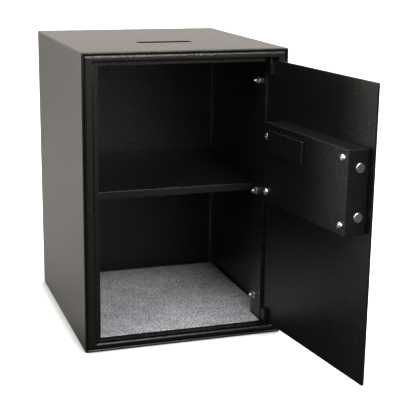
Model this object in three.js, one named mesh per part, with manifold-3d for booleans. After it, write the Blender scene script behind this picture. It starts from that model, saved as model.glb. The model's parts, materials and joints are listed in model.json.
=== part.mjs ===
// Parcel drop box: a steel cabinet with a drop slot in its top, one shelf, a felt floor mat, and a
// plate door with an electronic lock, standing open. Millimetres. X is to the right, Y to the back
// and Z up; the origin is the middle of the cabinet's underside.
import * as THREE from 'three';
import { mergeVertices, mergeGeometries } from 'three/addons/utils/BufferGeometryUtils.js';
import Module from 'manifold-3d';

const wasm = await Module();
wasm.setup();

// ---- Driving dimensions ----
const width = 350;
const depth = 390;
const height = 500;
const sheet = 2;                       // steel sheet of the cabinet
const hem = 4;                         // the cabinet's front edge is the sheet folded double
const hemLength = 14;
const seam = 0.4;                      // visible joint between hem and door frame
const gap = 0.3;                       // air between parts that touch
const cornerRadius = 3;
const face = { left: 19.9, right: 16.1, bottom: 14.2, top: 16.3 }; // cabinet edge to door opening
const stop = { depth: 6.4, left: 8.1, top: 6 }; // how far the door stop lies behind the face, and stands in
const sillDepth = 27;
const jamb = { start: 15, step: 23, end: 66, stop: 144.7 }; // its folds behind the front, and its stop's X

const slot = { length: 100, width: 24, fromFront: 137 };
const anchor = { radius: 6, x: 110, y: 120 };
const backInset = 4;                   // back panel sits inside the cabinet's rear edge
const floor = { top: 15, sheet: 1.5, front: 28, back: 8.5 };
const mat = { thickness: 3, side: 5, front: 21, back: 28, notch: 68 };
const shelf = { top: 257, sheet: 1.5, lip: 13, front: 70, back: 8, side: 0.8 };
const ledge = { leg: 15, sheet: 1.6, setback: 4 };

const hinge = { x: 147.5, y: -188, pinRadius: 2, boreRadius: 2.2 };
const bracket = { side: 10.7, front: 2.7, back: 22, thickness: 3 };
const lug = { halfWidth: 6.5, height: 20, fromEdge: 4 };
const doorOpen = 97;                   // degrees, as the door stands
const freeGap = 1.4;                   // air between the shut door's free edge and its frame
const plate = { thickness: 4, outer: -7, hingeEdge: 8, bottom: 19.5, top: 480.5 };
const cover = { left: -290, right: -41, bottom: 256, top: 385, rise: 36, sheet: 1.5 };
const battery = { left: -168, right: -60, bottom: 339, top: 375, rise: 4.7 };
const cell = { radius: 7.1, length: 50.5 };
const keypad = { left: -180, right: -82, bottom: 262, top: 378, rise: 13 };
const key = { width: 18, height: 13, pitchX: 25, pitchZ: 18.5, firstX: -156, firstZ: 366 };
const keyTravel = { stand: 2, press: 1.5 };
const knob = { x: -205, z: 320, radius: 19, camRadius: 18, pinOffset: 10, spindleRadius: 5 };
const bolt = { radius: 8, length: 60, z: [283, 357], throw: 20 };
const cableHole = { left: -168, right: -140, bottom: 300, top: 308 };
const lensX = -152;
const keyLock = { x: -110, z: 281, radius: 8.5, plugRadius: 5.5 };
const jambBolt = { heights: [55, 247, 440], depth: 52, radius: 3, end: 10, head: 5.8, headHeight: 3.5 };
const flangeNut = { flange: 7.1, flangeHeight: 1.2, hexagon: 5.6, height: 6 };

// Worked out from the above
const left = -width / 2;
const right = width / 2;
const front = -depth / 2;
const back = depth / 2;
const plateFront = plate.outer;        // door plate's faces, from the hinge axis
const plateBack = plate.outer + plate.thickness;
const coverFace = plateBack + cover.rise;
const plateFreeEdge = left + face.left + freeGap - hinge.x;

// ---- Finishes ----
const finish = (color, roughness, metalness = 0) =>
  () => new THREE.MeshStandardMaterial({ color, roughness, metalness });
const powderBlack = finish(0x1d1c1b, 0.5);
const chrome = finish(0xc9ccd0, 0.15, 1);
const zincSteel = finish(0x9a9da0, 0.35, 1);
const blackPlastic = finish(0x18191a, 0.45);
const greyPlastic = finish(0x8b8d90, 0.5);
const feltGrey = finish(0x6e6e73, 0.95);
const copper = finish(0xa8672f, 0.4, 1);
const boardGreen = finish(0x1f5a3a, 0.6);
const cellBlue = finish(0x2c4a7a, 0.4);
const lensGreen = finish(0x2fae5a, 0.2);

// ---- Solid helpers ----
const solidOf = (geometry) => {
  const bare = geometry.clone();
  bare.deleteAttribute('normal');
  bare.deleteAttribute('uv');
  const merged = mergeVertices(bare, 1e-4);
  return new wasm.Manifold(new wasm.Mesh({
    numProp: 3,
    vertProperties: new Float32Array(merged.attributes.position.array),
    triVerts: new Uint32Array(merged.index.array),
  }));
};

const geometryOf = (solid) => {
  const mesh = solid.getMesh();
  const geometry = new THREE.BufferGeometry();
  geometry.setAttribute('position', new THREE.BufferAttribute(mesh.vertProperties, 3));
  geometry.setIndex(new THREE.BufferAttribute(mesh.triVerts, 1));
  return geometry;
};

const join = (...parts) => geometryOf(parts.map(solidOf).reduce((a, b) => a.add(b)));
const cut = (body, ...tools) => geometryOf(tools.map(solidOf).reduce((a, b) => a.subtract(b), solidOf(body)));

// Box between two corners
const block = (x0, x1, y0, y1, z0, z1) =>
  new THREE.BoxGeometry(x1 - x0, y1 - y0, z1 - z0).translate((x0 + x1) / 2, (y0 + y1) / 2, (z0 + z1) / 2);

// Round bar along one axis, from a start point
const bar = (axis, radius, length, x, y, z, sides = 24) => {
  const geometry = new THREE.CylinderGeometry(radius, radius, length, sides);
  if (axis === 'x') geometry.rotateZ(-Math.PI / 2).translate(x + length / 2, y, z);
  if (axis === 'y') geometry.translate(x, y + length / 2, z);
  if (axis === 'z') geometry.rotateX(Math.PI / 2).translate(x, y, z + length / 2);
  return geometry;
};

// Rectangle with round corners
const roundedOutline = (x0, x1, y0, y1, r) => {
  const shape = new THREE.Shape();
  shape.moveTo(x0 + r, y0);
  shape.lineTo(x1 - r, y0).absarc(x1 - r, y0 + r, r, -Math.PI / 2, 0);
  shape.lineTo(x1, y1 - r).absarc(x1 - r, y1 - r, r, 0, Math.PI / 2);
  shape.lineTo(x0 + r, y1).absarc(x0 + r, y1 - r, r, Math.PI / 2, Math.PI);
  shape.lineTo(x0, y0 + r).absarc(x0 + r, y0 + r, r, Math.PI, 1.5 * Math.PI);
  return shape;
};

// An outline in X and Z, extruded along Y from y0 to y1, with its end edges eased by bevel
const alongY = (shape, y0, y1, bevel = 0, curveSegments = 4) => {
  const options = { depth: y1 - y0 - 2 * bevel, curveSegments, bevelEnabled: bevel > 0 };
  Object.assign(options, { bevelThickness: bevel, bevelSize: bevel, bevelOffset: -bevel, bevelSegments: 2 });
  return new THREE.ExtrudeGeometry(shape, options).rotateX(Math.PI / 2).translate(0, y1 - bevel, 0);
};

// Sheet folded along a line of points: the line is one face, and the sheet lies to its left
const folded = (points, thickness) => {
  const line = points.map(([x, y]) => new THREE.Vector2(x, y));
  const normals = line.slice(1).map((p, i) => {
    const d = p.clone().sub(line[i]).normalize();
    return new THREE.Vector2(-d.y, d.x);
  });
  const inner = line.map((p, i) => {
    const a = normals[Math.max(i - 1, 0)];
    const b = normals[Math.min(i, normals.length - 1)];
    const miter = a.clone().add(b);
    return p.clone().add(miter.multiplyScalar(thickness / (1 + a.dot(b))));
  });
  return new THREE.Shape([...line, ...inner.reverse()]);
};

// A folded section in Y and Z, extruded along X
const alongX = (shape, x0, x1) =>
  new THREE.ExtrudeGeometry(shape, { depth: x1 - x0, bevelEnabled: false })
    .rotateX(Math.PI / 2).rotateZ(Math.PI / 2).translate(x0, 0, 0);

// A folded section in X and Y, extruded along Z
const alongZ = (shape, z0, z1) =>
  new THREE.ExtrudeGeometry(shape, { depth: z1 - z0, bevelEnabled: false }).translate(0, 0, z0);

const box = new THREE.Group();

const addTo = (group) => (name, geometry, material) => {
  const mesh = new THREE.Mesh(geometry, material());
  mesh.name = name;
  group.add(mesh);
  return mesh;
};
const add = addTo(box);

// ---- Cabinet ----
const cabinetShell = () => {
  const outline = (t, r) => roundedOutline(left + t, right - t, t, height - t, r);
  const outer = alongY(outline(0, cornerRadius), front, back, 1.5);
  const inner = alongY(outline(sheet, 1), front + hemLength, back + 1);
  const mouth = alongY(outline(hem, 1), front - 1, front + hemLength + 1);
  const slotShape = roundedOutline(-slot.length / 2, slot.length / 2, -slot.width / 2, slot.width / 2,
    slot.width / 2 - 0.01);
  const slotTool = new THREE.ExtrudeGeometry(slotShape, { depth: 10, bevelEnabled: false, curveSegments: 8 })
    .translate(0, front + slot.fromFront, height - 5);
  const anchors = [-1, 1].flatMap((sx) => [-1, 1].map((sy) =>
    bar('z', anchor.radius, 10, sx * anchor.x, sy * anchor.y, -5, 16)));
  return cut(outer, inner, mouth, slotTool, ...anchors);
};

const backPanel = () => {
  const edge = sheet + seam;
  const y = back - backInset;
  const inner = edge + sheet;
  const outline = roundedOutline(left + edge, right - edge, edge, height - edge, 1);
  const rim = alongY(outline, y - sheet, back - gap);
  const hollow = block(left + inner, right - inner, y, back + 1, inner, height - inner);
  return cut(rim, hollow);
};

const frameInner = {
  left: left + face.left, right: right - face.right, bottom: face.bottom, top: height - face.top,
};

const frontFrame = () => {
  const edge = hem + seam;
  const y = front + seam;
  const { left: x0, right: x1, bottom: z0, top: z1 } = frameInner;
  const facing = cut(
    alongY(roundedOutline(left + edge, right - edge, edge, height - edge, 1), y, y + sheet),
    alongY(roundedOutline(x0, x1, z0, z1, 1), y - 1, y + sheet + 1));
  const stopY = front + stop.depth;
  const railEnd = hinge.x - bracket.side - gap; // top and bottom rails end at the hinge brackets
  const leftRail = block(x0 - sheet, x0, y, stopY + sheet, z0 - sheet, z1 + sheet);
  const leftStop = block(x0 - sheet, x0 + stop.left, stopY, stopY + sheet, z0 - sheet, z1 + sheet);
  const topRail = block(x0 - sheet, railEnd, y, stopY + sheet, z1, z1 + sheet);
  const topStop = block(x0 - sheet, railEnd, stopY, stopY + sheet, z1 - stop.top, z1 + sheet);
  const sill = block(x0 - sheet, railEnd, y, front + sillDepth, z0 - sheet, z0);
  const rightRail = block(x1, x1 + sheet, y, front + hemLength, z0 - sheet, z1 + sheet);
  return join(facing, leftRail, leftStop, topRail, topStop, sill, rightRail);
};

// Channel behind the frame's right side: rebate wall, stop and the flange that the bolts pass through
const hingeJamb = () => {
  const line = [
    [right - sheet - seam, front + jamb.start],
    [frameInner.right, front + jamb.start],
    [frameInner.right, front + jamb.step],
    [jamb.stop, front + jamb.step],
    [jamb.stop, front + jamb.end],
  ];
  const section = alongZ(folded(line, -sheet), floor.top + gap, frameInner.top - 1);
  const holes = jambBolt.heights.map((z) =>
    bar('x', jambBolt.radius + 0.4, 12, jamb.stop - 5, front + jambBolt.depth, z, 16));
  return cut(section, ...holes);
};

// A shallow tray turned upside down: a flat top with its front and back edges folded down
const tray = (y0, y1, zEdge, zTop, thickness, side) =>
  alongX(folded([[y0, zEdge], [y0, zTop], [y1, zTop], [y1, zEdge]], -thickness), left + side, right - side);

const floorPanel = () => {
  const [y0, y1] = [front + floor.front, back - floor.back];
  const panel = tray(y0, y1, sheet + gap, floor.top, floor.sheet, sheet + seam);
  const anchors = [-1, 1].flatMap((sx) => [-1, 1].map((sy) =>
    bar('z', anchor.radius, 10, sx * anchor.x, sy * anchor.y, floor.top - 5, 16)));
  return cut(panel, ...anchors);
};

// The mat is cut out round the foot of the jamb
const floorMat = () => {
  const [x0, x1] = [left + mat.side, right - mat.side];
  const [y0, y1] = [front + mat.front, back - mat.back];
  const notch = { x: jamb.stop - 1.2, y: front + mat.notch };
  const corners = [[x0, y0], [notch.x, y0], [notch.x, notch.y], [x1, notch.y], [x1, y1], [x0, y1]];
  const shape = new THREE.Shape(corners.map(([x, y]) => new THREE.Vector2(x, y)));
  return alongZ(shape, floor.top + gap, floor.top + gap + mat.thickness);
};

const shelfPlate = () => {
  const [y0, y1] = [front + shelf.front, back - shelf.back];
  return tray(y0, y1, shelf.top - shelf.lip, shelf.top, shelf.sheet, sheet + shelf.side);
};

// Angle strips on the side walls, which the shelf lies on
const shelfLedge = (side) => {
  const wall = side * (right - sheet - gap);
  const y0 = front + shelf.front + ledge.setback;
  const y1 = back - shelf.back - ledge.setback - 1;
  const z = shelf.top - shelf.sheet - gap;
  const inner = wall - side * ledge.leg;
  const leg = wall - side * ledge.sheet;
  return join(
    block(Math.min(wall, leg), Math.max(wall, leg), y0, y1, z - ledge.leg, z),
    block(Math.min(wall, inner), Math.max(wall, inner), y0, y1, z - ledge.sheet, z));
};

const hingeBracket = (z0, z1) => cut(
  block(hinge.x - bracket.side, frameInner.right - gap, front + bracket.front, front + bracket.back, z0, z1),
  bar('z', hinge.boreRadius, z1 - z0 + 2, hinge.x, hinge.y, z0 - 1));

const pinHead = { radius: 4, height: 1.5 };
const hingePin = (z0, z1, headZ) => join(
  bar('z', hinge.pinRadius, z1 - z0, hinge.x, hinge.y, z0),
  bar('z', pinHead.radius, pinHead.height, hinge.x, hinge.y, headZ));

add('cabinet_shell', cabinetShell(), powderBlack);
add('back_panel', backPanel(), powderBlack);
add('front_frame', frontFrame(), powderBlack);
add('hinge_jamb', hingeJamb(), powderBlack);
add('floor_panel', floorPanel(), powderBlack);
add('floor_mat', floorMat(), feltGrey);
add('shelf', shelfPlate(), powderBlack);
add('shelf_ledge_left', shelfLedge(-1), powderBlack);
add('shelf_ledge_right', shelfLedge(1), powderBlack);

const bracketTop = [frameInner.top + gap, frameInner.top + gap + bracket.thickness];
const bracketBottom = [frameInner.bottom - bracket.thickness, frameInner.bottom];
const lugTop = [plate.top - lug.fromEdge - lug.height, plate.top - lug.fromEdge];
const lugBottom = [plate.bottom + lug.fromEdge, plate.bottom + lug.fromEdge + lug.height];
add('hinge_bracket_top', hingeBracket(...bracketTop), powderBlack);
add('hinge_bracket_bottom', hingeBracket(...bracketBottom), powderBlack);
add('hinge_pin_top', hingePin(lugTop[0] + 5, bracketTop[1] + 1, bracketTop[1] + gap), powderBlack);
add('hinge_pin_bottom', hingePin(bracketBottom[0] - 1, lugBottom[1] - 5,
  bracketBottom[0] - gap - pinHead.height), powderBlack);

// Bolts with flange nuts through the jamb: the nut and the bolt's end are seen from inside
['bottom', 'middle', 'top'].forEach((name, i) => {
  const x = jamb.stop;
  const y = front + jambBolt.depth;
  const z = jambBolt.heights[i];
  const head = bar('x', jambBolt.head, jambBolt.headHeight, x + sheet + gap, y, z, 6);
  const shank = bar('x', jambBolt.radius, jambBolt.end + sheet + 2 * gap, x - jambBolt.end, y, z, 16);
  add(`jamb_bolt_${name}`, join(head, shank), chrome);
  const flange = bar('x', flangeNut.flange, flangeNut.flangeHeight, x - gap - flangeNut.flangeHeight, y, z);
  const hexagon = bar('x', flangeNut.hexagon, flangeNut.height - 0.5, x - gap - flangeNut.height, y, z, 6);
  const bore = bar('x', jambBolt.radius + gap, flangeNut.height + 4, x - flangeNut.height - 2, y, z, 16);
  add(`jamb_nut_${name}`, cut(join(flange, hexagon), bore), chrome);
});

// ---- Door: drawn shut, with its origin on the hinge axis, then turned to where it stands ----
const door = new THREE.Group();
door.position.set(hinge.x, hinge.y, 0);
door.rotation.z = THREE.MathUtils.degToRad(doorOpen);
box.add(door);
const addDoor = addTo(door);

const doorPlate = () => {
  const outline = roundedOutline(plateFreeEdge, plate.hingeEdge, plate.bottom, plate.top, 2);
  const body = alongY(outline, plateFront, plateBack, 0.6);
  return cut(body,
    bar('y', knob.spindleRadius + 0.5, 8, knob.x, plateFront - 2, knob.z),
    bar('y', keyLock.radius + 0.5, 8, keyLock.x, plateFront - 2, keyLock.z),
    block(cableHole.left, cableHole.right, plateFront - 2, plateBack + 2, cableHole.bottom, cableHole.top));
};

const hingeLug = (z0, z1) => cut(
  block(-lug.halfWidth, lug.halfWidth, plateBack + gap, 4, z0, z1),
  bar('z', hinge.boreRadius, z1 - z0 + 2, 0, 0, z0 - 1));

const coverScrews = [
  ['hinge_upper', -53, 363],
  ['hinge_lower', -53, 271],
  ['free_upper', -276, 371],
  ['free_lower', -276, 270],
];

const lockCover = () => {
  const c = cover;
  const outer = alongY(roundedOutline(c.left, c.right, c.bottom, c.top, 2), plateBack + gap, coverFace, 1.2);
  const t = c.sheet;
  const innerOutline = roundedOutline(c.left + t, c.right - t, c.bottom + t, c.top - t, 1);
  const inner = alongY(innerOutline, plateBack - 3, coverFace - t);
  const b = battery;
  const window = block(b.left + 4, b.right - 4, coverFace - 5, coverFace + 2, b.bottom + 4, b.top - 4);
  const boltHoles = bolt.z.map((z) => bar('x', bolt.radius + 0.5, 10, c.left - 5, 12, z));
  const screwHoles = coverScrews.map(([, x, z]) => bar('y', 2.5, 10, x, coverFace - 5, z, 16));
  return cut(outer, inner, window, ...boltHoles, ...screwHoles);
};

addDoor('door_plate', doorPlate(), powderBlack);
addDoor('hinge_lug_top', hingeLug(...lugTop), powderBlack);
addDoor('hinge_lug_bottom', hingeLug(...lugBottom), powderBlack);
addDoor('lock_cover', lockCover(), powderBlack);

coverScrews.forEach(([name, x, z]) => {
  const y = coverFace + gap;
  const shank = bar('y', 2, cover.rise + 0.5, x, plateBack + gap + 0.3, z, 12);
  const dome = new THREE.LatheGeometry([[0, 0], [6, 0], [5.8, 1.4], [4.6, 2.7], [2.6, 3.4], [0, 3.6]]
    .map(([r, h]) => new THREE.Vector2(r, h)), 20).translate(x, y, z);
  addDoor(`cover_screw_${name}`, join(shank, dome), chrome);
});

// Battery compartment: a tray behind a window in the lock cover, four cells, and a raised lid
const batteryTray = () => {
  const b = battery;
  const y1 = coverFace - cover.sheet - gap;
  const outer = block(b.left + 0.5, b.right - 0.5, 2, y1, b.bottom + 1.5, b.top - 1.5);
  const inner = block(b.left + 1.7, b.right - 1.7, 3.5, coverFace + 2, b.bottom + 2.7, b.top - 2.7);
  return cut(outer, inner);
};

const batteryCell = (x, z) => {
  const body = bar('x', cell.radius, cell.length - 1.5, x, 13, z, 20);
  const cap = bar('x', 2.6, cell.length, x, 13, z, 12);
  return join(body, cap);
};

const batteryCover = () => {
  const b = battery;
  const y0 = coverFace + gap;
  const lid = alongY(roundedOutline(b.left, b.right, b.bottom, b.top, 2), y0, y0 + b.rise, 1);
  const hollow = block(b.left + 6, b.right - 6, y0 - 1, y0 + b.rise - 1.8, b.bottom + 6, b.top - 6);
  return cut(lid, hollow);
};

addDoor('battery_tray', batteryTray(), blackPlastic);
let cellNumber = 1;
for (const x of [battery.left + 2.4, battery.left + 53.6]) {
  for (const z of [battery.bottom + 10.6, battery.top - 10.6]) {
    addDoor(`battery_cell_${cellNumber}`, batteryCell(x, z), cellBlue);
    cellNumber += 1;
  }
}
addDoor('battery_cover', batteryCover(), powderBlack);
addDoor('circuit_board', block(-176, -128, plateBack + gap + 3, plateBack + gap + 4.6, 266, 334), boardGreen);

// Keypad housing on the outer face, with a well for each key
const keyLabels = ['1', '2', '3', '4', '5', '6', '7', '8', '9', 'clear', '0', 'enter'];
const keyPlace = (i) => [key.firstX + (i % 3) * key.pitchX, key.firstZ - Math.floor(i / 3) * key.pitchZ];
const keyShape = (i, grow) => {
  const [x, z] = keyPlace(i);
  const [w, h] = [key.width / 2 + grow, key.height / 2 + grow];
  return roundedOutline(x - w, x + w, z - h, z + h, 2 + grow);
};
const housingFace = plateFront - keypad.rise;
const wellDepth = 5;

const keypadHousing = () => {
  const k = keypad;
  const outline = roundedOutline(k.left, k.right, k.bottom, k.top, 6);
  const body = alongY(outline, housingFace, plateFront - gap, 1.5);
  const [wellTop, wellFloor] = [housingFace - 2, housingFace + wellDepth];
  const wells = keyLabels.map((_, i) => alongY(keyShape(i, 0.5), wellTop, wellFloor, 0, 2));
  return cut(body, ...wells,
    bar('y', keyLock.radius + 0.4, 30, keyLock.x, housingFace - 5, keyLock.z),
    bar('y', 3.3, 5, lensX, housingFace - 2, keyLock.z, 16));
};

addDoor('keypad_housing', keypadHousing(), blackPlastic);
keyLabels.forEach((label, i) => {
  const [top, foot] = [housingFace - keyTravel.stand, housingFace + wellDepth - keyTravel.press - 0.5];
  const cap = alongY(keyShape(i, 0), top, foot, 0.6, 2);
  addDoor(`key_${label}`, cap, greyPlastic);
});
addDoor('status_lens', bar('y', 3, 3, lensX, housingFace - 0.5, keyLock.z, 16), lensGreen);

// Emergency lock: a fixed cylinder and the plug that the key turns
const keyCylinder = () => cut(
  bar('y', keyLock.radius, 35, keyLock.x, housingFace - 1, keyLock.z),
  bar('y', keyLock.plugRadius + 0.2, 40, keyLock.x, housingFace - 3, keyLock.z));
const keyPlug = () => {
  const plug = bar('y', keyLock.plugRadius, 37, keyLock.x, housingFace - 1, keyLock.z);
  const tailY = housingFace + 35;
  const tail = block(keyLock.x - 3, keyLock.x + 16, tailY, tailY + 2, keyLock.z - 3, keyLock.z + 3);
  const slit = block(keyLock.x - 3.5, keyLock.x + 3.5, housingFace - 3, housingFace + 8, keyLock.z - 0.8,
    keyLock.z + 0.8);
  return cut(join(plug, tail), slit);
};
addDoor('key_cylinder', keyCylinder(), zincSteel);
addDoor('key_plug', keyPlug(), zincSteel);

// Knob, its spindle with the cam and pin, and the ring it turns in
const knobBody = () => {
  const profile = [[0, -38], [knob.radius - 4, -38], [knob.radius - 1, -36], [knob.radius, -33],
    [knob.radius, -14], [knob.radius - 2, -9.5], [0, -9.5]].map(([r, h]) => new THREE.Vector2(r, h));
  const turned = new THREE.LatheGeometry(profile, 32).translate(knob.x, 0, knob.z);
  const flats = [-1, 1].map((side) => block(knob.x - 30, knob.x + 30, -45, -17,
    knob.z + (side < 0 ? -30 : 7), knob.z + (side < 0 ? -7 : 30)));
  const socket = bar('y', knob.spindleRadius + gap, 16, knob.x, -25, knob.z);
  return cut(turned, ...flats, socket);
};

const knobSpindle = () => join(
  bar('y', knob.spindleRadius, 37, knob.x, -23, knob.z),
  bar('y', knob.camRadius, 3, knob.x, 11, knob.z, 32),
  bar('y', 2, 8, knob.x + knob.pinOffset, 12, knob.z + knob.pinOffset, 12));

const knobRing = () => cut(
  bar('y', 24, 2, knob.x, plateFront - gap - 2, knob.z, 32),
  bar('y', knob.spindleRadius + 0.5, 6, knob.x, plateFront - 5, knob.z));

addDoor('knob', knobBody(), blackPlastic);
addDoor('knob_spindle', knobSpindle(), zincSteel);
addDoor('knob_ring', knobRing(), chrome);

// Bolt work: two round bolts on a carriage that the cam pin drives
const boltAxisY = 12;
const boltStart = cover.left - 1;
const carriageX = boltStart + bolt.length + gap;

bolt.z.forEach((z, i) => {
  const tip = new THREE.CylinderGeometry(bolt.radius - 1, bolt.radius, 1, 24)
    .rotateZ(Math.PI / 2).translate(boltStart - 0.5, boltAxisY, z);
  const rod = bar('x', bolt.radius, bolt.length, boltStart, boltAxisY, z);
  addDoor(`live_bolt_${i ? 'upper' : 'lower'}`, join(rod, tip), chrome);
});

const boltCarriage = () => {
  const crossPlate = block(carriageX, carriageX + 3, 4, 22, bolt.z[0] - 9, bolt.z[1] + 9);
  const arm = block(carriageX, knob.x + 19, 15.3, 17.3, knob.z + 2, knob.z + 22);
  const pinSlot = block(knob.x + knob.pinOffset - 2.8, knob.x + knob.pinOffset + 2.8, 14, 19,
    knob.z + 6.4, knob.z + 17.8);
  return cut(join(crossPlate, arm), pinSlot);
};

const boltGuide = () => {
  const wall = block(-262, -260, plateBack + 0.6, 24, bolt.z[0] - 12, bolt.z[1] + 12);
  const foot = block(-272, -260, plateBack + 0.6, plateBack + 2.6, bolt.z[0] - 12, bolt.z[1] + 12);
  return cut(join(wall, foot), ...bolt.z.map((z) => bar('x', bolt.radius + 0.5, 8, -265, boltAxisY, z)));
};

addDoor('bolt_carriage', boltCarriage(), zincSteel);
addDoor('bolt_guide', boltGuide(), zincSteel);

// Solenoid under the cam: its plunger rests against the cam's rim
const solenoid = { z0: 262, z1: 290 };
const solenoidBody = () => cut(
  block(knob.x - 11, knob.x + 11, plateBack + 0.6, 24, solenoid.z0, solenoid.z1),
  bar('z', 3.3, solenoid.z1, knob.x, 12.5, solenoid.z0 + 8));
const plungerTop = knob.z - knob.camRadius - 0.8;
addDoor('solenoid_body', solenoidBody(), copper);
addDoor('solenoid_plunger', join(
  bar('z', 3, plungerTop - solenoid.z0 - 14, knob.x, 12.5, solenoid.z0 + 14),
  bar('z', 5, 1.6, knob.x, 12.5, solenoid.z1 + 7)), zincSteel);

export default box;
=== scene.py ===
import json
import math

import bmesh
import bpy
from mathutils import Matrix, Vector, noise


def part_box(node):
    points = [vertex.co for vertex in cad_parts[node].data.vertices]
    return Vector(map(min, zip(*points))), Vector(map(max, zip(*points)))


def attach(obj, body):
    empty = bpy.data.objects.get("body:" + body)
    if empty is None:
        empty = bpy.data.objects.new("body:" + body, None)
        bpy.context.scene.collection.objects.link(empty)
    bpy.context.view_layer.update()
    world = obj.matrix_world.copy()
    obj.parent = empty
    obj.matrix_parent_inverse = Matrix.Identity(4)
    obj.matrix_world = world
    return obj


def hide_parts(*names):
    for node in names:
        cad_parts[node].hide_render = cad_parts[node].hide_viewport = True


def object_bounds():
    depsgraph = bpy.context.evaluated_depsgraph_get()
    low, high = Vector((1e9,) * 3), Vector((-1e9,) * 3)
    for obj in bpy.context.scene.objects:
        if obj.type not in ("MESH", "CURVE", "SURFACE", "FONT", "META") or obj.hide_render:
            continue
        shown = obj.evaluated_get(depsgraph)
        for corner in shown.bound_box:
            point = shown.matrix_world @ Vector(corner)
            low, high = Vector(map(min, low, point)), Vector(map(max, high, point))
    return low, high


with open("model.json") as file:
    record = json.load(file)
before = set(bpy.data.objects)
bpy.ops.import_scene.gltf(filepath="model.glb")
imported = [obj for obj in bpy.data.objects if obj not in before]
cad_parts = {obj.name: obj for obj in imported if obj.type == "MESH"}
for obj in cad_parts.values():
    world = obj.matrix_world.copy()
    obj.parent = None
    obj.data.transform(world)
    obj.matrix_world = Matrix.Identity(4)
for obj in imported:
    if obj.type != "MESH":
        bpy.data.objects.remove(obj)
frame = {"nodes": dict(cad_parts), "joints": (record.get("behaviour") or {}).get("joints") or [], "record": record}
cadLow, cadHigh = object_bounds()
nodes = frame["nodes"]
scene = bpy.context.scene
mm = 0.001
print("frame loaded:", len(nodes), "CAD nodes")


swing = next(j for j in frame["joints"] if j["name"] == "door_swing")
hinge = Vector(swing["pos_m"])
standsOpen = math.radians(swing["range_deg"][1])      # the door can close by as much as it stands open
doorPlace = Matrix.Translation((hinge.x, hinge.y, 0)) @ Matrix.Rotation(standsOpen, 4, "Z")


def shutBox(node):
    # a door node's corners with the door shut, measured from the hinge axis
    turned = doorPlace.inverted()
    points = [turned @ v.co for v in nodes[node].data.vertices]
    low = Vector([min(p[i] for p in points) for i in range(3)])
    high = Vector([max(p[i] for p in points) for i in range(3)])
    return low, high


waveScale = 314       # a Wave Texture's scale that puts its bands 1 mm apart


def hexColour(text):
    # sRGB hex to the linear colour that the nodes want
    parts = [int(text[i:i + 2], 16) / 255 for i in (1, 3, 5)]
    return [c / 12.92 if c <= 0.04045 else ((c + 0.055) / 1.055) ** 2.4 for c in parts] + [1]


def addNode(tree, kind, output, settings=None, links=None):
    # adds a node, sets its properties and sockets, links other sockets to their sources, returns one output.
    # "stops" are a colour ramp's (position, colour) pairs
    node = tree.nodes.new("ShaderNode" + kind)
    for name, value in (settings or {}).items():
        if name == "stops":
            points = node.color_ramp.elements
            while len(points) < len(value):
                points.new(0.5)
            for point, (position, colour) in zip(points, value):
                point.position = position
                point.color = hexColour(colour)
        elif isinstance(name, str) and hasattr(node, name):
            setattr(node, name, value)
        else:
            node.inputs[name].default_value = value
    for name, source in (links or {}).items():
        tree.links.new(source, node.inputs[name])
    return node.outputs[output]


def startMaterial(name, settings=None):
    # settings are the shader's sockets; place is the Object coordinates of the piece
    made = bpy.data.materials.new(name)
    made.use_nodes = True
    tree = made.node_tree
    shader = tree.nodes["Principled BSDF"]
    for socket, value in (settings or {}).items():
        shader.inputs[socket].default_value = value
    place = addNode(tree, "TexCoord", "Object")
    return made, tree, shader, place


def feed(tree, shader, sources):
    # links the shader's sockets to what feeds them
    for socket, source in sources.items():
        tree.links.new(source, shader.inputs[socket])


def powderCoat():
    # polyester powder coat on steel, sprayed and baked: satin black with an orange-peel skin, whose pebbles
    # glint where the light grazes them. Real pebbles are 1 to 2 mm across; they are drawn at 3 mm to show
    look = {"pebbleMm": 3, "grainMm": 1.2, "rough": (0.24, 0.34), "pebbleDepthMm": 0.6, "grainDepthMm": 0.05,
            "colours": ((0.3, "#0e0e0d"), (0.6, "#151413"), (0.75, "#282623"))}
    made, tree, shader, place = startMaterial("satinBlackPowderCoat", {"IOR": 1.5})
    pebble = addNode(tree, "TexNoise", "Fac",
                     {"Scale": 1000 / look["pebbleMm"], "Detail": 3, "Roughness": 0.6}, {"Vector": place})
    grain = addNode(tree, "TexNoise", "Fac", {"Scale": 1000 / look["grainMm"], "Detail": 1},
                    {"Vector": place})
    colour = addNode(tree, "ValToRGB", "Color", {"stops": look["colours"]}, {"Fac": pebble})
    low, high = look["rough"]
    rough = addNode(tree, "MapRange", "Result",
                    {"From Min": 0.3, "From Max": 0.7, "To Min": low, "To Max": high}, {"Value": grain})
    under = addNode(tree, "Bump", "Normal", {"Distance": look["grainDepthMm"] * mm}, {"Height": grain})
    skin = addNode(tree, "Bump", "Normal", {"Distance": look["pebbleDepthMm"] * mm},
                   {"Height": pebble, "Normal": under})
    feed(tree, shader, {"Base Color": colour, "Roughness": rough, "Normal": skin})
    return made


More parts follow.
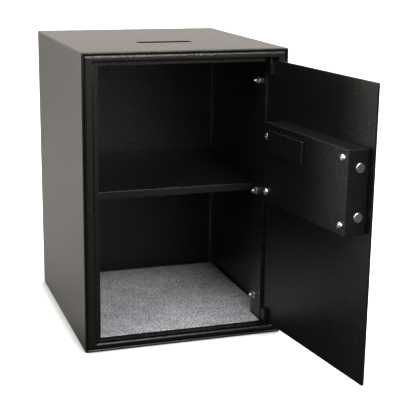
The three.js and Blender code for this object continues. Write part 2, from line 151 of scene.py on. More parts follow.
def needleFelt():
    # needle-punched polyester felt of light and dark grey fibres: matt, speckled like salt and pepper, with a
    # soft nap. The fibre clumps are drawn at 2.5 mm so that they show
    look = {"patchMm": 25, "clumpMm": 2.5, "share": 0.12, "depthMm": 0.5,
            "colours": ((0.36, "#404046"), (0.46, "#85858e"), (0.53, "#b0b0b9"), (0.62, "#e6e6ec"))}
    made, tree, shader, place = startMaterial("greyNeedleFelt", {"Roughness": 0.95, "IOR": 1.45,
                                                                 "Sheen Weight": 0.2, "Sheen Roughness": 0.6})
    patch = addNode(tree, "TexNoise", "Fac", {"Scale": 1000 / look["patchMm"], "Detail": 2},
                    {"Vector": place})
    clump = addNode(tree, "TexNoise", "Fac", {"Scale": 1000 / look["clumpMm"], "Detail": 3, "Roughness": 0.6},
                    {"Vector": place})
    mixed = addNode(tree, "Mix", 0, {"data_type": "FLOAT", 0: look["share"]}, {2: clump, 3: patch})
    colour = addNode(tree, "ValToRGB", "Color", {"stops": look["colours"]}, {"Fac": mixed})
    nap = addNode(tree, "Bump", "Normal", {"Distance": look["depthMm"] * mm}, {"Height": clump})
    feed(tree, shader, {"Base Color": colour, "Normal": nap})
    return made


def brightPlate():
    # steel with bright nickel-chrome plating: barrel-polished first, so it mirrors with a faint haze
    look = {"colour": "#e6e7e9", "hazeMm": 2.5, "rough": (0.18, 0.36), "depthMm": 0.01}
    made, tree, shader, place = startMaterial("brightChromePlate", {"Metallic": 1.0,
                                                                    "Base Color": hexColour(look["colour"])})
    haze = addNode(tree, "TexNoise", "Fac", {"Scale": 1000 / look["hazeMm"], "Detail": 4}, {"Vector": place})
    low, high = look["rough"]
    rough = addNode(tree, "MapRange", "Result", {"To Min": low, "To Max": high}, {"Value": haze})
    bump = addNode(tree, "Bump", "Normal", {"Distance": look["depthMm"] * mm}, {"Height": haze})
    feed(tree, shader, {"Roughness": rough, "Normal": bump})
    return made


def zincPlate():
    # zinc-plated pressed steel: grey and slightly cloudy, with fine lines in the direction of rolling
    look = {"cloudMm": 7, "lineMm": 3, "stretch": 14, "rough": (0.28, 0.46), "depthMm": 0.01,
            "colours": ((0.3, "#93969a"), (0.7, "#b9bcbf"))}
    made, tree, shader, place = startMaterial("cloudyZincPlate", {"Metallic": 1.0})
    cloud = addNode(tree, "TexNoise", "Fac", {"Scale": 1000 / look["cloudMm"], "Detail": 4},
                    {"Vector": place})
    drawn = addNode(tree, "Mapping", "Vector", {"Scale": (1, 1, look["stretch"])}, {"Vector": place})
    lines = addNode(tree, "TexNoise", "Fac", {"Scale": 1000 / look["lineMm"]}, {"Vector": drawn})
    colour = addNode(tree, "ValToRGB", "Color", {"stops": look["colours"]}, {"Fac": cloud})
    low, high = look["rough"]
    rough = addNode(tree, "MapRange", "Result", {"To Min": low, "To Max": high}, {"Value": lines})
    bump = addNode(tree, "Bump", "Normal", {"Distance": look["depthMm"] * mm}, {"Height": lines})
    feed(tree, shader, {"Base Color": colour, "Roughness": rough, "Normal": bump})
    return made


def mouldedPlastic(name, dark, light, rough, sparkMm=0.8, depthMm=0.03):
    # injection-moulded ABS from a spark-eroded tool, which leaves a fine matt pebble on the skin
    made, tree, shader, place = startMaterial(name, {"IOR": 1.53})
    spark = addNode(tree, "TexNoise", "Fac", {"Scale": 1000 / sparkMm}, {"Vector": place})
    colour = addNode(tree, "ValToRGB", "Color", {"stops": ((0.3, dark), (0.7, light))}, {"Fac": spark})
    satin = addNode(tree, "MapRange", "Result", {"To Min": rough - 0.05, "To Max": rough + 0.05},
                    {"Value": spark})
    bump = addNode(tree, "Bump", "Normal", {"Distance": depthMm * mm}, {"Height": spark})
    feed(tree, shader, {"Base Color": colour, "Roughness": satin, "Normal": bump})
    return made


def whitePrint():
    # pad-printed ink on the keys: matt white, a little worn
    look = {"wornMm": 1.2, "colours": ((0.3, "#c9c9c6"), (0.6, "#eeeeea"))}
    made, tree, shader, place = startMaterial("whitePadPrint", {"Roughness": 0.6})
    worn = addNode(tree, "TexNoise", "Fac", {"Scale": 1000 / look["wornMm"], "Detail": 3}, {"Vector": place})
    colour = addNode(tree, "ValToRGB", "Color", {"stops": look["colours"]}, {"Fac": worn})
    feed(tree, shader, {"Base Color": colour})
    return made


def cellSleeve():
    # printed PVC sleeve, shrunk round a penlight cell: glossy blue, with slight ripples
    look = {"rippleMm": 6, "depthMm": 0.05, "colours": ((0.3, "#21406d"), (0.7, "#2f568c"))}
    made, tree, shader, place = startMaterial("blueShrinkSleeve", {"Roughness": 0.22, "Coat Weight": 0.3})
    ripple = addNode(tree, "TexNoise", "Fac", {"Scale": 1000 / look["rippleMm"]}, {"Vector": place})
    colour = addNode(tree, "ValToRGB", "Color", {"stops": look["colours"]}, {"Fac": ripple})
    bump = addNode(tree, "Bump", "Normal", {"Distance": look["depthMm"] * mm}, {"Height": ripple})
    feed(tree, shader, {"Base Color": colour, "Normal": bump})
    return made


def solderMask():
    # glass-fibre circuit board under green solder mask: glossy, and the weave just shows
    look = {"weaveMm": 2.5, "depthMm": 0.01, "colours": ((0.2, "#184a30"), (0.8, "#226340"))}
    made, tree, shader, place = startMaterial("greenSolderMask", {"Roughness": 0.35, "IOR": 1.55})
    weave = addNode(tree, "TexWave", "Fac", {"Scale": waveScale / look["weaveMm"], "Distortion": 0.4},
                    {"Vector": place})
    colour = addNode(tree, "ValToRGB", "Color", {"stops": look["colours"]}, {"Fac": weave})
    bump = addNode(tree, "Bump", "Normal", {"Distance": look["depthMm"] * mm}, {"Height": weave})
    feed(tree, shader, {"Base Color": colour, "Normal": bump})
    return made


def enamelledCopper():
    # solenoid wound with enamelled copper wire, 0.4 mm thick, drawn at 2 mm so that the turns show. The copper is
    # painted lighter on each turn's crown, a painted highlight, and darker between turns, painted shade
    look = {"wireMm": 2, "depthMm": 0.2, "colours": ((0.2, "#7a3f1c"), (0.8, "#c37a48"))}
    made, tree, shader, place = startMaterial("enamelledCopperWire", {"Metallic": 1.0, "Roughness": 0.3})
    upright = addNode(tree, "Mapping", "Vector", {"Rotation": (0, math.pi / 2, 0)}, {"Vector": place})
    turns = addNode(tree, "TexWave", "Fac", {"Scale": waveScale / look["wireMm"]}, {"Vector": upright})
    # painted highlight and shade: lighter copper on each turn's crown, darker in the grooves between turns
    colour = addNode(tree, "ValToRGB", "Color", {"stops": look["colours"]}, {"Fac": turns})
    bump = addNode(tree, "Bump", "Normal", {"Distance": look["depthMm"] * mm}, {"Height": turns})
    feed(tree, shader, {"Base Color": colour, "Normal": bump})
    return made


def clearLens():
    # moulded green acrylic over a small lamp: polished, and clear enough to look deep
    look = {"cloudMm": 3, "colours": ((0.3, "#1f8f47"), (0.7, "#39c06a"))}
    made, tree, shader, place = startMaterial("greenAcrylicLens", {"Roughness": 0.08, "IOR": 1.49,
                                                                   "Transmission Weight": 0.5})
    cloud = addNode(tree, "TexNoise", "Fac", {"Scale": 1000 / look["cloudMm"]}, {"Vector": place})
    colour = addNode(tree, "ValToRGB", "Color", {"stops": look["colours"]}, {"Fac": cloud})
    feed(tree, shader, {"Base Color": colour})
    return made


finishes = {
    "powder_coat_black": powderCoat(),
    "grey_felt": needleFelt(),
    "bright_chrome": brightPlate(),
    "zinc_steel": zincPlate(),
    "black_abs": mouldedPlastic("blackMouldedAbs", "#121314", "#1b1c1d", 0.46),
    "grey_keys": mouldedPlastic("greyMouldedKeys", "#85878a", "#919396", 0.5, sparkMm=0.6),
    "cell_sleeve": cellSleeve(),
    "circuit_board": solderMask(),
    "lens": clearLens(),
    "solenoid_frame": enamelledCopper(),
}
keyPrint = whitePrint()
slotOf = {s["node"]: s["material_slot"] for s in frame["record"]["subparts"]}
bodyOf = {n: body for body, names in frame["record"]["behaviour"]["bodies"].items() for n in names}
for name, node in nodes.items():
    node.data.materials.clear()
    node.data.materials.append(finishes[slotOf[name]])
print("materials made:", len(finishes) + 1)


def addObject(name, data):
    made = bpy.data.objects.new(name, data)
    scene.collection.objects.link(made)
    return made


def camelName(node):
    first, *others = node.split("_")
    return first + "".join(word.capitalize() for word in others)


def finishPiece(name, bm, node, place=None, edge=0.0, edgeSegments=3):
    # turns a bmesh into a piece that stands for one CAD node, and rounds what edges are still sharp
    shade = {"merge": 1e-6, "creaseFrom": 50, "roundFrom": 38}     # metres, degrees, degrees
    bmesh.ops.remove_doubles(bm, verts=bm.verts, dist=shade["merge"])
    if place:
        bmesh.ops.transform(bm, matrix=place, verts=bm.verts)
    mesh = bpy.data.meshes.new(name)
    bm.to_mesh(mesh)
    bm.free()
    mesh.materials.append(finishes[slotOf[node]])
    mesh.polygons.foreach_set("use_smooth", [True] * len(mesh.polygons))
    mesh.set_sharp_from_angle(angle=math.radians(shade["creaseFrom"]))
    piece = addObject(name, mesh)
    if edge:
        rounding = piece.modifiers.new("roundedEdges", "BEVEL")
        rounding.width = edge * mm
        rounding.segments = edgeSegments
        rounding.limit_method = "ANGLE"
        rounding.angle_limit = math.radians(shade["roundFrom"])
        rounding.harden_normals = True
    weighted = piece.modifiers.new("flatFaces", "WEIGHTED_NORMAL")
    weighted.keep_sharp = True
    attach(piece, bodyOf[node])
    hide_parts(node)
    return piece


def copyOfNode(node):
    # the CAD solid with its triangles merged back into whole faces
    joining = {"merge": 2e-6, "flat": 0.5}      # metres, degrees
    bm = bmesh.new()
    bm.from_mesh(nodes[node].data)
    bmesh.ops.remove_doubles(bm, verts=bm.verts, dist=joining["merge"])
    bmesh.ops.dissolve_limit(bm, angle_limit=math.radians(joining["flat"]), verts=bm.verts, edges=bm.edges)
    return bm


def ringAround(bm, rect, y, corner, segments):
    # an open loop of edges round a rectangle (x0, x1, z0, z1) with round corners
    x0, x1, z0, z1 = rect
    middle = Matrix.Translation(((x0 + x1) / 2, y, (z0 + z1) / 2))
    upright = middle @ Matrix.Diagonal((x1 - x0, 1, z1 - z0, 1)) @ Matrix.Rotation(math.pi / 2, 4, "X")
    made = bmesh.ops.create_grid(bm, x_segments=1, y_segments=1, size=0.5, matrix=upright)
    face = made["verts"][0].link_faces[0]
    bmesh.ops.bevel(bm, geom=list(face.verts), offset=corner, segments=segments, profile=0.5,
                    affect="VERTICES", material=-1)
    face = max((f for f in bm.faces if abs(f.calc_center_median().y - y) < 1e-7), key=lambda f: f.calc_area())
    edges = list(face.edges)
    bmesh.ops.delete(bm, geom=[face], context="FACES_ONLY")
    return edges


def edgesOf(verts):
    return list({e for v in verts for e in v.link_edges})


def extrudeLoop(bm, edges):
    # the new loop's vertices and edges
    made = bmesh.ops.extrude_edge_only(bm, edges=edges)["geom"]
    verts = [g for g in made if isinstance(g, bmesh.types.BMVert)]
    return verts, [g for g in made if isinstance(g, bmesh.types.BMEdge)]


def carryTo(bm, edges, rect, y):
    # extrudes an open loop and fits the new one to another rectangle and depth
    verts, loop = extrudeLoop(bm, edges)
    xs, zs = [v.co.x for v in verts], [v.co.z for v in verts]
    x0, x1, z0, z1 = rect
    stretch = (x1 - x0) / (max(xs) - min(xs)), 1, (z1 - z0) / (max(zs) - min(zs))
    corner = Matrix.Translation((-min(xs), 0, -min(zs)))
    bmesh.ops.scale(bm, vec=stretch, space=corner, verts=verts)
    bmesh.ops.translate(bm, vec=(x0 - min(xs), y - verts[0].co.y, z0 - min(zs)), verts=verts)
    return loop


def carryAlong(bm, edges, rect, steps):
    # steps are (inset from the rectangle, y)
    x0, x1, z0, z1 = rect
    for inset, y in steps:
        edges = carryTo(bm, edges, (x0 + inset, x1 - inset, z0 + inset, z1 - inset), y)
    return edges


def carryRound(bm, edges, centre, radius, y):
    # extrudes a round loop about the Y axis through centre, to another radius and depth
    verts, loop = extrudeLoop(bm, edges)
    now = math.hypot(verts[0].co.x - centre.x, verts[0].co.z - centre.z)
    bmesh.ops.scale(bm, vec=(radius / now, 1, radius / now), verts=verts,
                    space=Matrix.Translation((-centre.x, 0, -centre.z)))
    bmesh.ops.translate(bm, vec=(0, y - verts[0].co.y, 0), verts=verts)
    return loop


def quarterRound(width, depth, segments=4):
    # (inset, depth) of a rounded edge's points, from its side to its face
    angles = [math.pi / 2 * i / segments for i in range(1, segments + 1)]
    return [(width * (1 - math.cos(a)), depth * (1 - math.sin(a))) for a in angles]


def addBlock(bm, low, high, edge=0.0):
    # a box between two corners, with rounded edges
    low, high = Vector(low), Vector(high)
    place = Matrix.Translation((low + high) / 2) @ Matrix.Diagonal((*(high - low), 1))
    made = bmesh.ops.create_cube(bm, size=1, matrix=place)["verts"]
    if edge:
        bmesh.ops.bevel(bm, geom=edgesOf(made), offset=edge, segments=2, profile=0.5, affect="EDGES",
                        material=-1)


def cabinetShell():
    # folded sheet with a rolled hem in front; mm, and the slot is measured from the cabinet's front
    size = {"corner": 3, "cornerSegments": 5, "sheet": 2, "hem": 4, "hemLength": 14, "hemStep": 0.8,
            "roll": 1.9, "rearEdge": 0.5, "rearBreak": 0.3, "slotLength": 100, "slotWidth": 24,
            "slotFromFront": 137, "slotRim": 0.5, "slotEndSegments": 8}
    low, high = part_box("cabinet_shell")
    rect = (low.x, high.x, low.z, high.z)
    hem, hemEnd, step, sheet, roll, rearEdge, rearBreak = (
        size[k] * mm for k in ("hem", "hemLength", "hemStep", "sheet", "roll", "rearEdge", "rearBreak"))
    bm = bmesh.new()
    start = ringAround(bm, rect, low.y + roll, size["corner"] * mm, size["cornerSegments"])
    bend = quarterRound(roll, roll)
    front = [(inset, low.y + y) for inset, y in bend]
    front += [(hem - inset, low.y + y) for inset, y in reversed(bend)]
    front += [(hem, low.y + roll), (hem, low.y + hemEnd), (sheet, low.y + hemEnd + step),
              (sheet, high.y - rearBreak), (sheet - rearBreak, high.y)]
    inside = carryAlong(bm, start, rect, front)
    rear = [(0, high.y - rearEdge), (rearEdge * 0.3, high.y - rearEdge * 0.3), (rearEdge, high.y)]
    outside = carryAlong(bm, start, rect, rear)
    bmesh.ops.bridge_loops(bm, edges=inside + outside)
    bmesh.ops.recalc_face_normals(bm, faces=bm.faces)

    # the slot: cut both skins of the top to its rectangle, join them, then round its ends and rim
    x1, y0 = size["slotLength"] / 2 * mm, low.y + (size["slotFromFront"] - size["slotWidth"] / 2) * mm
    y1 = y0 + size["slotWidth"] * mm
    topFrom = high.z - sheet - mm       # everything above belongs to the top

    def topSkins():
        return [f for f in bm.faces if abs(f.normal.z) > 0.99 and f.calc_center_median().z > topFrom]

    def nearSlot(vert):
        return abs(vert.co.x) < x1 + mm and y0 - mm < vert.co.y < y1 + mm

    for place, normal in (((-x1, 0, 0), (1, 0, 0)), ((x1, 0, 0), (1, 0, 0)), ((0, y0, 0), (0, 1, 0)),
                          ((0, y1, 0), (0, 1, 0))):
        skins = topSkins()
        geom = set(skins) | {e for f in skins for e in f.edges} | {v for f in skins for v in f.verts}
        bmesh.ops.bisect_plane(bm, geom=list(geom), dist=1e-6, plane_co=place, plane_no=normal)
    lids = [f for f in topSkins()
            if abs(f.calc_center_median().x) < x1 and y0 < f.calc_center_median().y < y1]
    rims = [e for f in lids for e in f.edges]
    bmesh.ops.delete(bm, geom=lids, context="FACES_ONLY")
    walls = bmesh.ops.bridge_loops(bm, edges=rims)["faces"]
    posts = {e for f in walls for e in f.edges if abs((e.verts[0].co - e.verts[1].co).normalized().z) > 0.9}
    justUnderHalf = (size["slotWidth"] / 2 - 0.05) * mm       # a full half would leave edges of no length
    bmesh.ops.bevel(bm, geom=list(posts), offset=justUnderHalf, segments=size["slotEndSegments"], profile=0.5,
                    affect="EDGES", material=-1)
    rims = [e for e in bm.edges if abs(e.calc_face_angle(0)) > 1 and all(nearSlot(v) for v in e.verts)
            and e.verts[0].co.z > topFrom]
    bmesh.ops.bevel(bm, geom=rims, offset=size["slotRim"] * mm, segments=2, profile=0.5, affect="EDGES",
                    material=-1)
    return finishPiece("cabinetShell", bm, "cabinet_shell")


cabinetShell()


def doorFrame():
    # a rolled section: its face is crowned towards both edges, with door stops behind it and a sill below
    size = {"sheet": 2, "outerCrown": 6.2, "outerDrop": 3.6, "outerSteps": 7, "innerCrown": 3.4,
            "innerDrop": 3.2, "innerSteps": 6, "corner": 1.5, "cornerSegments": 4, "backStep": 0.4,
            "stopDepth": 6.4, "stopLeft": 8.1, "stopTop": 6, "stopEdge": 0.5, "weld": 1, "sillDepth": 27,
            "railEnd": 136.5,
            "face": (19.9, 16.1, 14.2, 16.3)}    # cabinet's edge to the opening: left, right, bottom, top
    low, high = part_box("front_frame")
    shellLow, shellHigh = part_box("cabinet_shell")
    sheet, outerDrop, innerDrop, railEnd, weld, edge = (
        size[k] * mm for k in ("sheet", "outerDrop", "innerDrop", "railEnd", "weld", "stopEdge"))
    left, right, bottom, top = (width * mm for width in size["face"])
    outer = (low.x, high.x, low.z, high.z)
    inner = (shellLow.x + left, shellHigh.x - right, shellLow.z + bottom, shellHigh.z - top)
    bm = bmesh.new()
    start = ringAround(bm, outer, low.y + outerDrop + size["backStep"] * mm, size["corner"] * mm,
                       size["cornerSegments"])
    crown = quarterRound(size["outerCrown"] * mm, outerDrop, size["outerSteps"])
    rise = [(inset, low.y + drop) for inset, drop in crown]
    edges = carryAlong(bm, start, outer, [(0, low.y + outerDrop)] + rise)
    stopFace = shellLow.y + size["stopDepth"] * mm
    crown = quarterRound(size["innerCrown"] * mm, innerDrop, size["innerSteps"])
    fall = [(-inset, low.y + drop) for inset, drop in reversed(crown)]
    fall += [(0, low.y + innerDrop), (0, stopFace + sheet), (-sheet, stopFace + sheet),
             (-sheet, low.y + outerDrop + sheet)]
    edges = carryAlong(bm, edges, inner, fall)
    bmesh.ops.bridge_loops(bm, edges=edges + start)
    bmesh.ops.recalc_face_normals(bm, faces=bm.faces)
    x0, x1, z0, z1 = inner
    hair = 0.01 * mm        # keeps the two stops' faces apart where they cross
    addBlock(bm, (x0 - weld, stopFace, z0), (x0 + size["stopLeft"] * mm, stopFace + sheet, z1), edge)
    addBlock(bm, (x0 - weld, stopFace + hair, z1 - size["stopTop"] * mm),
             (railEnd, stopFace + sheet - hair, z1 + weld), edge)
    addBlock(bm, (x0, low.y + innerDrop, z0 - sheet),
             (railEnd, shellLow.y + size["sillDepth"] * mm, z0), edge)
    return finishPiece("doorFrame", bm, "front_frame")


doorFrame()

# pressed and welded pieces: the CAD shape with the small edge radius (mm) that folding and coating leave
pressedEdges = {"hinge_jamb": 0.6, "back_panel": 0.6, "floor_panel": 0.5, "shelf": 0.6,
                "shelf_ledge_left": 0.4, "shelf_ledge_right": 0.4, "hinge_bracket_top": 0.4,
                "hinge_bracket_bottom": 0.4, "hinge_lug_top": 0.5, "hinge_lug_bottom": 0.5,
                "hinge_pin_top": 0.3, "hinge_pin_bottom": 0.3}
for node, edge in pressedEdges.items():
    finishPiece(camelName(node), copyOfNode(node), node, edge=edge)


def floorMat():
    # a needled sheet, cut round the foot of the jamb. Its faces lie a skin's depth inside the CAD's, because
    # the fibres stand up and down from them
    size = {"cell": 6, "skin": 0.4, "ripple": 0.35, "lumpsPerMetre": (130, 420), "edge": 0.9,
            "jambGap": (1.2, 2)}
    low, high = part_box("floor_mat")
    jambLow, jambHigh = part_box("hinge_jamb")
    notchX, notchY = jambLow.x - size["jambGap"][0] * mm, jambHigh.y + size["jambGap"][1] * mm
    bm = bmesh.new()
    across, along = (round((high[i] - low[i]) / (size["cell"] * mm)) for i in (0, 1))
    middle = (low + high) / 2
    stretch = Matrix.Diagonal((high.x - low.x, high.y - low.y, 1, 1))
    flat = Matrix.Translation((middle.x, middle.y, high.z - size["skin"] * mm)) @ stretch
    bmesh.ops.create_grid(bm, x_segments=across, y_segments=along, size=0.5, matrix=flat)
    for place, normal in (((notchX, 0, 0), (1, 0, 0)), ((0, notchY, 0), (0, 1, 0))):
        everything = bm.verts[:] + bm.edges[:] + bm.faces[:]
        bmesh.ops.bisect_plane(bm, geom=everything, dist=1e-5, plane_co=place, plane_no=normal)
    corner = [f for f in bm.faces if f.calc_center_median().x > notchX and f.calc_center_median().y < notchY]
    bmesh.ops.delete(bm, geom=corner, context="FACES")
    area = sum(f.calc_area() for f in bm.faces)
    bmesh.ops.solidify(bm, geom=bm.faces[:], thickness=high.z - low.z - 2 * size["skin"] * mm)
    bmesh.ops.recalc_face_normals(bm, faces=bm.faces)
    coarse, fine = size["lumpsPerMetre"]
    for v in bm.verts:                      # loose fibres make the skin and the cut edge uneven
        lump = noise.noise(v.co * coarse) + 0.5 * noise.noise(v.co * fine)
        v.co.z += size["ripple"] * mm * lump
    piece = finishPiece("floorMat", bm, "floor_mat", edge=size["edge"], edgeSegments=2)
    return piece


floorMat()


def threadedEnd(bm, start, length, radius, pitch, root, segments=20):
    # a bolt's thread as a stack of rings, along -X from start. root is the groove's share of the radius
    turn = Matrix.Rotation(-math.pi / 2, 4, "Y")
    made = bmesh.ops.create_circle(bm, segments=segments, radius=radius * root, cap_ends=True,
                                   matrix=Matrix.Translation(start) @ turn)
    face = made["verts"][0].link_faces[0]
    for i in range(round(length / pitch) * 2):
        grown = bmesh.ops.extrude_face_region(bm, geom=[face])["geom"]
        verts = [g for g in grown if isinstance(g, bmesh.types.BMVert)]
        face = next(g for g in grown if isinstance(g, bmesh.types.BMFace))
        bmesh.ops.translate(bm, vec=(-pitch / 2, 0, 0), verts=verts)
        wide = 1 / root if i % 2 == 0 else root
        middle = sum((v.co for v in verts), Vector()) / len(verts)
        bmesh.ops.scale(bm, vec=(1, wide, wide), space=Matrix.Translation(-middle), verts=verts)


def jambFasteners():
    # flange nuts on bolts: the nut's corners are chamfered and the bolt's thread stands out of it
    size = {"thread": 3, "threadRoot": 0.86, "pitch": 1, "tip": 0.4, "headHeight": 3.5, "nutChamfer": 0.7}
    headHeight = size["headHeight"] * mm
    for spot in ("top", "middle", "bottom"):
        nut, bolt = "jamb_nut_" + spot, "jamb_bolt_" + spot
        finishPiece(camelName(nut), copyOfNode(nut), nut, edge=size["nutChamfer"])
        low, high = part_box(bolt)
        middle = (low + high) / 2
        bm = bmesh.new()
        begin = Vector((high.x - headHeight, middle.y, middle.z))
        threadedEnd(bm, begin, begin.x - low.x - size["tip"] * mm, size["thread"] * mm, size["pitch"] * mm,
                    size["threadRoot"])
        head = Matrix.Translation((begin.x + headHeight / 2, middle.y, middle.z))
        corners = (high.y - low.y) / 2
        bmesh.ops.create_cone(bm, cap_ends=True, segments=6, radius1=corners, radius2=corners,
                              depth=headHeight, matrix=head @ Matrix.Rotation(math.pi / 2, 4, "Y"))
        bmesh.ops.recalc_face_normals(bm, faces=bm.faces)
        finishPiece(camelName(bolt), bm, bolt)


jambFasteners()
print("cabinet made")

# the door's pieces, with the edge radius in mm; with 0 the CAD's own edges stay as they are
doorEdges = {"door_plate": 0, "lock_cover": 0, "battery_cover": 0, "battery_tray": 0.4, "keypad_housing": 0,
             "knob_ring": 0.5, "knob": 0.8, "knob_spindle": 0.3, "bolt_carriage": 0.4, "bolt_guide": 0.4,
             "key_cylinder": 0.4, "key_plug": 0.3, "live_bolt_lower": 0.5, "live_bolt_upper": 0.5}
for node, edge in doorEdges.items():
    finishPiece(camelName(node), copyOfNode(node), node, edge=edge)


def coverScrews():
    # dome-headed cap screws: a turned head with a shallow hexagon socket
    size = {"radius": 6, "height": 3.5, "flat": 2.6, "socket": 2, "socketDepth": 1.4, "shank": 2,
            "segments": 36, "domeSteps": 4}
    radius, height, flat, shank = (size[k] * mm for k in ("radius", "height", "flat", "shank"))
    for spot in ("hinge_upper", "hinge_lower", "free_upper", "free_lower"):
        node = "cover_screw_" + spot
        low, high = shutBox(node)
        middle = (low + high) / 2
        bm = bmesh.new()
        upright = Matrix.Translation((middle.x, high.y, middle.z)) @ Matrix.Rotation(-math.pi / 2, 4, "X")
        socket = bmesh.ops.create_circle(bm, segments=6, radius=size["socket"] * mm, matrix=upright)["verts"]
        socketEdges = edgesOf(socket)
        sunk, bottom = extrudeLoop(bm, socketEdges)
        bmesh.ops.translate(bm, vec=(0, -size["socketDepth"] * mm, 0), verts=sunk)
        bmesh.ops.contextual_create(bm, geom=bottom)
        rim = bmesh.ops.create_circle(bm, segments=size["segments"], radius=flat, matrix=upright)["verts"]
        loop = edgesOf(rim)
        bmesh.ops.bridge_loops(bm, edges=socketEdges + loop)
        for i in range(1, size["domeSteps"] + 1):      # the dome, as an arc from the flat down to the cover
            angle = i / size["domeSteps"] * math.pi / 2
            loop = carryRound(bm, loop, middle, flat + (radius - flat) * math.sin(angle),
                              high.y - height * (1 - math.cos(angle)))
        for y in (high.y - height, low.y):
            loop = carryRound(bm, loop, middle, shank, y)
        bmesh.ops.contextual_create(bm, geom=loop)
        bmesh.ops.recalc_face_normals(bm, faces=bm.faces)
        finishPiece(camelName(node), bm, node, place=doorPlace)


coverScrews()


def keys():
    # moulded caps with a printed figure, which stands 0.1 mm proud
    size = {"letter": 8, "ink": 0.1}
    signs = {"clear": "*", "enter": "#"}
    for node in sorted(n for n in nodes if n.startswith("key_") and n not in ("key_cylinder", "key_plug")):
        label = node.removeprefix("key_")
        finishPiece("keyCap" + label.capitalize(), copyOfNode(node), node)
        low, high = shutBox(node)
        words = bpy.data.curves.new("figure", "FONT")
        words.body = signs.get(label, label)
        words.size = size["letter"] * mm
        words.align_x = "CENTER"
        words.align_y = "CENTER"
        words.extrude = size["ink"] / 2 * mm
        holder = addObject("figure", words)
        bpy.context.view_layer.update()
        mesh = bpy.data.meshes.new_from_object(holder)
        bpy.data.objects.remove(holder)
        face = Matrix.Translation(((low.x + high.x) / 2, low.y, (low.z + high.z) / 2))
        mesh.transform(doorPlace @ face @ Matrix.Rotation(math.pi / 2, 4, "X"))
        mesh.materials.clear()
        mesh.materials.append(keyPrint)
        figure = addObject("keyFigure" + label.capitalize(), mesh)
        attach(figure, bodyOf[node])


keys()
print("door made")


def stage():
    # a white paper floor with a close contact shadow. The piece sees it with painted shade: greyer behind, and
    # nearly black in front, as if flagged off
    floorLook = {"seen": "#f6f5f3", "behind": "#a9a7a2", "inFront": "#121111", "flag": (-0.16, 0.05),
                 "across": -0.3, "glow": 0.85, "shadowReach": 0.035, "shadowDepth": 1.5, "reach": 20,
                 "belowMm": 0.2}
    mesh = bpy.data.meshes.new("floor")
    bm = bmesh.new()
    bmesh.ops.create_grid(bm, x_segments=1, y_segments=1, size=floorLook["reach"])
    bm.to_mesh(mesh)
    bm.free()
    paper, tree, shader, place = startMaterial("paleStudioFloor", {"Roughness": 0.9})
    seen = addNode(tree, "LightPath", "Is Camera Ray")
    # painted shade: to all but camera rays the floor is graded from nearly black in front to grey behind
    depth = addNode(tree, "VectorMath", "Value", {"operation": "DOT_PRODUCT", 1: (floorLook["across"], 1, 0)},
                    {0: place})
    near, far = floorLook["flag"]
    flag = addNode(tree, "MapRange", "Result", {"From Min": near, "From Max": far}, {"Value": depth})
    bounced = addNode(tree, "ValToRGB", "Color",
                      {"stops": ((0, floorLook["inFront"]), (1, floorLook["behind"]))}, {"Fac": flag})
    clear = addNode(tree, "AmbientOcclusion", "AO", {"Distance": floorLook["shadowReach"]})
    shadow = addNode(tree, "Math", "Value", {"operation": "POWER", 1: floorLook["shadowDepth"]}, {0: clear})
    tone = addNode(tree, "ValToRGB", "Color", {"stops": ((0, "#000000"), (1, floorLook["seen"]))},
                   {"Fac": shadow})
    surface = addNode(tree, "Mix", 2, {"data_type": "RGBA"}, {0: seen, 6: bounced, 7: tone})
    glow = addNode(tree, "Mix", 2, {"data_type": "RGBA", 6: (0, 0, 0, 1)}, {0: seen, 7: tone})
    feed(tree, shader, {"Base Color": surface, "Emission Color": glow})
    shader.inputs["Emission Strength"].default_value = floorLook["glow"]
    mesh.materials.append(paper)
    floor = addObject("floor", mesh)
    floor.location.z = cadLow.z - floorLook["belowMm"] * mm


def areaLamp(name, energy, size, place, aim, colour="#fffdf8"):
    # energy in watts; width and height, place and aim in metres
    lamp = bpy.data.lights.new(name, "AREA")
    lamp.energy = energy
    lamp.shape = "RECTANGLE"
    lamp.size, lamp.size_y = size
    lamp.color = hexColour(colour)[:3]
    holder = addObject(name, lamp)
    holder.location = place
    holder.rotation_euler = (Vector(aim) - Vector(place)).to_track_quat("-Z", "Y").to_euler()
    holder.visible_camera = False


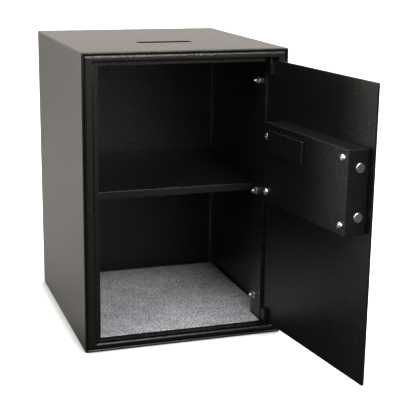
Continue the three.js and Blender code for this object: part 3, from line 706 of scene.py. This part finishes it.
def studioLight():
    # a room that is bright behind the cabinet and dim on the viewer's side, and white where it is seen
    room = {"strength": 1.05, "white": 1.2, "stops": ((0.2, "#0c0c0c"), (0.5, "#5a5957"), (0.9, "#fff6ea"))}
    overhead = {"energy": 2.6, "angle": 80}
    lamps = {      # watts, (width, height), place, what it is aimed at
        "lowStripLight": (1.2, (0.7, 0.4), (0.4, -2.4, 0.15), (-0.15, -0.2, 0.49)),
        "highSoftbox": (58, (1.0, 1.0), (0.3, -2.4, 2.0), (0, -0.1, 0.15)),
        "frontSoftbox": (9, (0.8, 0.8), (-0.3, -2.8, 1.0), (0, 0, 0.1)),
        "leftSoftbox": (17, (1.0, 0.7), (-1.8, 1.3, 0.36), (-0.17, 0.1, 0.3)),
        "rightSoftbox": (45, (1.2, 1.2), (2.6, -0.8, 1.1), (0.17, -0.1, 0.3)),
        "doorSoftbox": (22, (0.8, 0.8), (-2.2, -1.5, 1.4), (0.16, -0.35, 0.35)),
    }
    world = bpy.data.worlds.new("studio")
    scene.world = world
    world.use_nodes = True
    tree = world.node_tree
    direction = addNode(tree, "TexCoord", "Generated")
    depth = addNode(tree, "SeparateXYZ", "Y", links={"Vector": direction})
    share = addNode(tree, "MapRange", "Result", {"From Min": -1.0}, {"Value": depth})
    colour = addNode(tree, "ValToRGB", "Color", {"stops": room["stops"]}, {"Fac": share})
    seen = addNode(tree, "LightPath", "Is Camera Ray")
    strength = addNode(tree, "MapRange", "Result", {"To Min": room["strength"], "To Max": room["white"]},
                       {"Value": seen})
    shown = addNode(tree, "Mix", 2, {"data_type": "RGBA", 7: (1, 1, 1, 1)}, {0: seen, 6: colour})
    feed(tree, tree.nodes["Background"], {"Color": shown, "Strength": strength})

    sky = bpy.data.lights.new("overheadSoftLight", "SUN")
    sky.energy = overhead["energy"]
    sky.angle = math.radians(overhead["angle"])
    addObject("overheadSoftLight", sky)
    for name, settings in lamps.items():
        areaLamp(name, *settings)


def camera():
    view = {"place": (-509.7, -1786.4, 677.8), "yaw": 18.51, "pitch": 14.28, "roll": 0.71, "lens": 93.39,
            "sensor": 36}       # mm and degrees
    data = bpy.data.cameras.new("camera")
    data.lens = view["lens"]
    data.sensor_width = view["sensor"]
    holder = addObject("camera", data)
    yaw, pitch, roll = (math.radians(view[k]) for k in ("yaw", "pitch", "roll"))
    turn = Matrix.Rotation(-yaw, 4, "Z") @ Matrix.Rotation(math.pi / 2 - pitch, 4, "X")
    turn = turn @ Matrix.Rotation(roll, 4, "Z")
    holder.matrix_world = Matrix.Translation(Vector(view["place"]) * mm) @ turn
    scene.camera = holder


stage()
studioLight()
camera()
scene.view_settings.view_transform = "Standard"
print("stage, light and camera made")
